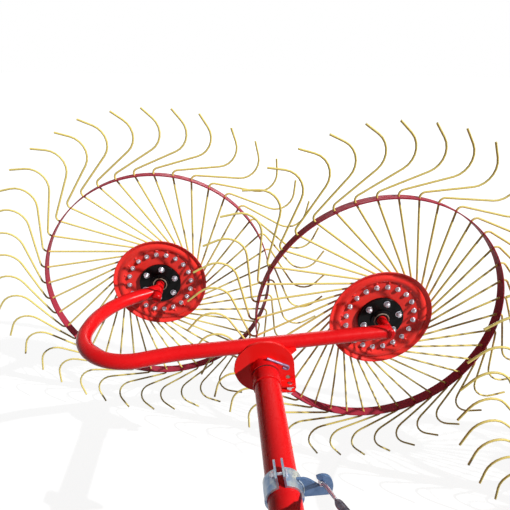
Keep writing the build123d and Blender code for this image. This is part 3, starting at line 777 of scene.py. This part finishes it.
def boom(side, pair):
    """Welds, a black ring that paints the shade in the groove, clamp bolt and grease nipple of one boom."""
    body = f"boom_{side}"
    bm = bmesh.new()
    socket = ring_points(on_pivot(SOCKET_END, pair), BOOM_RADIUS + 0.0015, 0.0005, range(0, 360, 8))
    weld_bead(bm, socket, FINE_BEAD, closed=True)
    for flank in (-1, 1):
        route = []
        for step in range(13):
            rise = SLEEVE_RADIUS * 0.97 * math.sin(math.radians(-90 + step * 15))
            route.append(at(PIVOT_ALONG + flank * math.sqrt(BOOM_RADIUS ** 2 - rise ** 2),
                            HINGE_AHEAD - math.sqrt(SLEEVE_RADIUS ** 2 - rise ** 2), rise - PIVOT_DROP, pair))
        weld_bead(bm, route, HINGE_BEAD)
    finished(f"{body}_welds", bm, RED, body, sharp=60)
    # A black ring paints the shade in the groove below the collar.
    ring = bmesh.new()
    lathe(ring, GROOVE_SHADE_RING, 64)
    finished(f"{body}_groove_shade_ring", ring, CAP, body, on_pivot(SOCKET_GROOVE, pair))
    root = bmesh.new()
    for face in (-HOOK_FACE, HOOK_FACE):
        seam = ring_points(on_pivot(HOOK_AHEAD, pair), BAND_RADIUS + 0.0020, face, range(-32, 51, 6))
        weld_bead(root, seam, FINE_BEAD)
    finished(f"{body}_hook_weld", root, ZINC_PAINTED_REFLECTION, body, sharp=60)
    bolt = bmesh.new()
    head, shank, washer = 0.0080, 0.0040, 0.0088
    prism(bolt, 6, head, EAR_OUTSIDE, EAR_OUTSIDE + 0.0056, 0.0008)
    prism(bolt, 20, shank, -EAR_OUTSIDE - 0.0120, EAR_OUTSIDE + 0.001, 0.0006)
    prism(bolt, 20, washer, -EAR_OUTSIDE - 0.0014, -EAR_OUTSIDE, 0.0003)
    prism(bolt, 6, head, -EAR_OUTSIDE - 0.0082, -EAR_OUTSIDE - 0.0014, 0.0009)
    place = (on_pivot(CLAMP_AHEAD, pair, CLAMP_TURN) @ Matrix.Translation((0, CLAMP_BOLT_RISE, 0))
             @ Matrix.Rotation(math.radians(90), 4, "Y"))
    finished(f"{body}_clamp_bolt", bolt, BOLT, body, place)
    nipple = bmesh.new()
    prism(nipple, 6, 0.0050, SLEEVE_RADIUS - 0.001, SLEEVE_RADIUS + 0.0045, 0.0005)
    prism(nipple, 12, 0.0028, SLEEVE_RADIUS + 0.0045, SLEEVE_RADIUS + 0.0110, 0.0008)
    finished(f"{body}_grease_nipple", nipple, BOLT, body,
             Matrix.Translation(at(PIVOT_ALONG + 0.046, HINGE_AHEAD, -PIVOT_DROP, pair)))


# Toolbar, headstock and stands

def frame_welds():
    """Beads where posts, brackets, neck, crossbar, hitch plates, mast and sleeves are welded on."""
    bm = bmesh.new()
    half_weld = 0.044
    for pair in range(2):
        offset = pair * BAR_SPAN
        post_foot = corners(on_bar(offset + POST_ALONG, 0, BAR_HALF), POST_HALF + 0.001, POST_HALF + 0.001)
        weld_bead(bm, post_foot, FRAME_BEAD, closed=True)
        for across in BRACKET_FACES:
            along = offset + (across - BAR_HALF * math.sin(BAR_SLOPE)) / math.cos(BAR_SLOPE)
            seam = [on_bar(along, -BAR_HALF - 0.0005, rise).translation for rise in (-half_weld, half_weld)]
            weld_bead(bm, seam, FRAME_BEAD)
    ends = [((BAR_HALF + across * math.sin(NECK_TURN)) / math.cos(NECK_TURN), across)
            for across in (-BAR_HALF, BAR_HALF)]
    root = [on_neck(ahead, across, rise).translation for rise in (-BAR_HALF, BAR_HALF) for ahead, across in ends]
    weld_bead(bm, [root[0], root[1], root[3], root[2]], NECK_BEAD, closed=True)
    nose = NECK_LENGTH - CROSSBAR_HALF
    seam = [on_neck(nose, across, rise).translation for across, rise in (
        (-BAR_HALF, -CROSSBAR_HALF), (BAR_HALF, -CROSSBAR_HALF), (BAR_HALF, CROSSBAR_HALF),
        (-BAR_HALF, CROSSBAR_HALF))]
    weld_bead(bm, seam, CROSSBAR_BEAD, closed=True)
    for side in (-1, 1):
        across = side * (HITCH_HALF - HITCH_PLATE)
        seam = [on_neck(NECK_LENGTH + ahead, across, rise).translation for ahead, rise in (
            (-CROSSBAR_HALF, -CROSSBAR_HALF), (CROSSBAR_HALF, -CROSSBAR_HALF), (CROSSBAR_HALF, CROSSBAR_HALF),
            (-CROSSBAR_HALF, CROSSBAR_HALF))]
        weld_bead(bm, seam, HITCH_BEAD, closed=True)
        mast_foot = corners(on_neck(NECK_LENGTH, side * (MAST_FOOT + 0.007), CROSSBAR_HALF), 0.0075, 0.0355)
        weld_bead(bm, mast_foot, FRAME_BEAD, closed=True)
    seam_low, seam_high = -0.048, 0.048
    for end in (-BAR_OVERHANG, BAR_SPAN + BAR_OVERHANG):
        for across in (-STAND_SLEEVE_HALF, STAND_SLEEVE_HALF):
            seam = [on_bar(end, across, rise).translation for rise in (seam_low, seam_high)]
            weld_bead(bm, seam, FRAME_BEAD)
    for ahead in (STAND_ON_NECK - STAND_SLEEVE_HALF, STAND_ON_NECK + STAND_SLEEVE_HALF):
        seam = [on_neck(ahead, -BAR_HALF, rise).translation for rise in (seam_low, seam_high)]
        weld_bead(bm, seam, FRAME_BEAD)
    finished("frame_welds", bm, RED, "frame", sharp=60)


def plugs_and_caps():
    """Plugs in the toolbar's ends and caps on the spring posts."""
    bm = bmesh.new()
    inset = 0.003
    for end in (-BAR_OVERHANG + inset, BAR_SPAN + BAR_OVERHANG - inset):
        square_cap(bm, (0.004, 0.0875, 0.0875), on_bar(end), 0.0012)
    for pair in range(2):
        top = on_bar(pair * BAR_SPAN + POST_ALONG, 0, BAR_HALF + POST_HEIGHT + 0.0025)
        square_cap(bm, (0.0535, 0.0535, 0.005), top, 0.0015)
    finished("bar_plugs_and_post_caps", bm, CAP, "frame")


def hinge_hardware():
    """Washer and pin end on both sides of each lift hinge, with the roll pin through it."""
    washer = bmesh.new()
    lathe(washer, HINGE_WASHER, 40)
    prism(washer, 40, 0.0146, 0.0690, 0.0800, 0.0012)
    hinges = [Matrix.Translation(at(PIVOT_ALONG, HINGE_AHEAD, -PIVOT_DROP, pair)) for pair in range(2)]
    places = [hinge @ Matrix.Rotation(math.radians(side * 90), 4, "Y") for hinge in hinges for side in (-1, 1)]
    finished("hinge_washers", copies(washer, places), BOLT, "frame")
    roll = bmesh.new()
    prism(roll, 12, 0.0026, -0.0210, 0.0210, 0.0006)
    places = [Matrix.Translation(at(PIVOT_ALONG + side * 0.0745, HINGE_AHEAD, -PIVOT_DROP, pair))
              for pair in range(2) for side in (-1, 1)]
    finished("hinge_roll_pins", copies(roll, places), BOLT, "frame")


def linch_pins():
    """Linch pin with its ring through each lower hitch pin."""
    bm = bmesh.new()
    prism(bm, 16, 0.0048, -0.0200, 0.0190, 0.0010)
    prism(bm, 16, 0.0085, 0.0125, 0.0190, 0.0015)
    bent_wire(bm, 0.0018, Vector((0.006, 0, 0.0165)), Vector((1, 0, 0.35)),
              [0.004, (0.0145, 300.0, Vector((0, 1, 0))), 0.004])
    places = [on_neck(NECK_LENGTH, side * (HITCH_HALF + 0.047), -HITCH_DROP) for side in (-1, 1)]
    finished("linch_pins", copies(bm, places), BOLT, "frame")


def stand_screws():
    """Clamping screw of each stand sleeve, with a nut at its root and a cross handle through its head."""
    screw = bmesh.new()
    prism(screw, 6, 0.0125, 0, 0.0110, 0.0012)
    prism(screw, 16, 0.0058, 0.0110, 0.0420, 0.0008)
    handle = bmesh.new()
    half = 0.0380
    prism(handle, 12, 0.0042, -half, half, 0.0012)
    for end in (-half, half):
        bmesh.ops.create_uvsphere(handle, u_segments=12, v_segments=8, radius=0.0062,
                                  matrix=Matrix.Translation((0, 0, end)))
    place = Matrix.Translation((0, 0, 0.0400)) @ Matrix.Rotation(math.radians(62), 4, "X")
    bmesh.ops.transform(handle, matrix=place, verts=handle.verts)
    take_in(screw, handle)
    past = BAR_OVERHANG + STAND_PAST_END + STAND_SLEEVE_HALF
    to_side = [Matrix.Rotation(math.radians(turn), 4, "Y") for turn in (-90, 90)]
    places = [on_bar(-past) @ to_side[0], on_bar(BAR_SPAN + past) @ to_side[1],
              on_neck(STAND_ON_NECK, -BAR_HALF - 2 * STAND_SLEEVE_HALF) @ to_side[0]]
    finished("stand_screws", copies(screw, places), BOLT, "frame")


# Balance springs

def wire_piece(name, points, radius, material, smooth=False):
    """Round wire through the points, or along the smooth line that they pull, as a mesh."""
    curve = bpy.data.curves.new(name, "CURVE")
    curve.dimensions = "3D"
    curve.bevel_depth = radius
    curve.bevel_resolution = 2
    curve.use_fill_caps = True
    spline = curve.splines.new("NURBS" if smooth else "POLY")
    spline.points.add(len(points) - 1)
    for point, spot in zip(points, spline.points):
        spot.co = (*point, 1)
    if smooth:
        spline.order_u = 3
        spline.use_endpoint_u = True
    holder = bpy.data.objects.new(f"{name}_curve", curve)
    mesh = bpy.data.meshes.new_from_object(holder)
    bpy.data.objects.remove(holder)
    mesh.name = name
    mesh.materials.clear()
    mesh.materials.append(material)
    mesh.shade_smooth()
    piece = bpy.data.objects.new(name, mesh)
    bpy.context.scene.collection.objects.link(piece)
    return piece


def balance_spring(side, index):
    """Close-wound coil with a bright hook in the hook plate's throat and an eye at the post."""
    foot = at(PIVOT_ALONG + HOOK_SEAT[0], SPRING_AHEAD, HOOK_SEAT[1] - PIVOT_DROP, index)
    eye = on_bar(index * BAR_SPAN + POST_ALONG, -(POST_HALF + 0.022), BAR_HALF + POST_HEIGHT - 0.034).translation
    run = eye - foot
    length = run.length
    coil_end = length - EYE_SHANK
    turns = int((coil_end - COIL_START) / (2.1 * SPRING_WIRE))
    steps = turns * COIL_STEPS
    place = Matrix.Translation(foot) @ run.to_track_quat("Z", "Y").to_matrix().to_4x4()
    plate = on_pivot(HOOK_AHEAD, index)
    behind = plate.to_3x3() @ Vector((0, 0, -STRAND_BEHIND))
    strand = [place @ Vector((0, 0, rise)) for rise in (0.004, 0.016, COIL_START * 0.7, COIL_START + 0.004)]
    hook = [strand[3] + behind * 0.25, strand[2] + behind * 0.8, strand[1] + behind]
    hook += [plate @ Vector(point) for point in HOOK_BEND_POINTS] + strand
    winding = []
    for step in range(steps + 1):
        angle = step * math.tau / COIL_STEPS
        taper = min(1, 0.10 + step / (COIL_STEPS * 5), 0.10 + (steps - step) / (COIL_STEPS * 5))
        rise = COIL_START + (coil_end - COIL_START) * step / steps
        winding.append(Vector((COIL_RADIUS * taper * math.cos(angle), COIL_RADIUS * taper * math.sin(angle), rise)))
    winding += [Vector((0, 0, coil_end + 0.012)), Vector((0, 0, length - 0.008))]
    winding += [Vector((EYE_RADIUS * math.sin(turn), 0, length - EYE_RADIUS * math.cos(turn)))
                for turn in (math.radians(degrees) for degrees in range(0, 281, 20))]
    lower = wire_piece(f"spring_hook_{side}", hook, SPRING_WIRE * 1.2, BOLT, smooth=True)
    spring = wire_piece(f"balance_spring_{side}", [place @ point for point in winding], SPRING_WIRE, STEEL)
    for piece in (lower, spring):
        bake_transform(piece)
    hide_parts(f"frame_{side}_balance_spring")


# Floor, light and camera

def seen_directly(tree):
    """1 where the camera, a reflection or glass shows the surface, 0 where it only lights another."""
    paths = tree.nodes.new("ShaderNodeLightPath")
    seen = maths(tree, "MAXIMUM", paths.outputs["Is Camera Ray"], paths.outputs["Is Glossy Ray"])
    return maths(tree, "MAXIMUM", seen, paths.outputs["Is Transmission Ray"])


def pale_floor():
    """Floor that looks nearly white and keeps a faint shadow."""
    bm = bmesh.new()
    bmesh.ops.create_grid(bm, x_segments=1, y_segments=1, size=40)
    white = bpy.data.materials.new("pale_floor")
    white.use_nodes = True
    tree = white.node_tree
    shader = tree.nodes["Principled BSDF"]
    shader.inputs["Base Color"].default_value = (FLOOR_GREY, FLOOR_GREY, FLOOR_GREY, 1)
    shader.inputs["Roughness"].default_value = 0.9
    glow = tree.nodes.new("ShaderNodeEmission")
    glow.inputs["Color"].default_value = (1, 1, 1, 1)
    tree.links.new(maths(tree, "MULTIPLY", seen_directly(tree), FLOOR_GLOW), glow.inputs["Strength"])
    blend = tree.nodes.new("ShaderNodeAddShader")
    tree.links.new(shader.outputs["BSDF"], blend.inputs[0])
    tree.links.new(glow.outputs["Emission"], blend.inputs[1])
    tree.links.new(blend.outputs["Shader"], tree.nodes["Material Output"].inputs["Surface"])
    finished("floor", bm, white, None)


def light():
    """White surround that lights little, a crisp sun and a broad lamp behind the wheels."""
    world = bpy.data.worlds.new("surround")
    world.use_nodes = True
    bpy.context.scene.world = world
    tree = world.node_tree
    background = tree.nodes["Background"]
    background.inputs["Color"].default_value = (1, 1, 1, 1)
    strength = span(tree, seen_directly(tree), 0.0, 1.0, SURROUND_LIGHT, 1.0)
    tree.links.new(strength, background.inputs["Strength"])
    key = bpy.data.lights.new("key", "SUN")
    key.energy = SUN_STRENGTH
    key.angle = math.radians(SUN_WIDTH)
    fill = bpy.data.lights.new("rear_fill", "AREA")
    fill.shape = "DISK"
    fill.size = FILL_SIZE
    fill.energy = FILL_POWER
    fill.specular_factor = 0
    for lamp, spot in ((key, SUN_FROM), (fill, FILL_FROM)):
        holder = bpy.data.objects.new(lamp.name, lamp)
        holder.location = spot
        holder.rotation_euler = (-spot).to_track_quat("-Z", "Y").to_euler()
        bpy.context.scene.collection.objects.link(holder)


def photo_camera():
    """Camera where the photograph was taken from."""
    data = bpy.data.cameras.new("photo_camera")
    data.lens = CAMERA_LENS
    data.sensor_width = CAMERA_SENSOR
    data.clip_start = 0.02
    data.clip_end = 200
    camera = bpy.data.objects.new("photo_camera", data)
    bpy.context.scene.collection.objects.link(camera)
    aim = (Matrix.Rotation(-math.radians(CAMERA_YAW), 4, "Z")
           @ Matrix.Rotation(math.radians(90 + CAMERA_PITCH), 4, "X")
           @ Matrix.Rotation(math.radians(CAMERA_ROLL), 4, "Z"))
    camera.matrix_world = Matrix.Translation(FIRST_WHEEL + CAMERA_FROM_WHEEL) @ aim
    bpy.context.scene.camera = camera


photo_camera()
pale_floor()
light()
paint_nodes()
for wheel_index in range(WHEELS):
    wheel(wheel_index)
for side_index, side_name in enumerate("ab"):
    rocker(side_name, side_index)
    boom(side_name, side_index)
    balance_spring(side_name, side_index)
frame_welds()
plugs_and_caps()
hinge_hardware()
linch_pins()
stand_screws()
bpy.context.scene.view_settings.view_transform = "Standard"
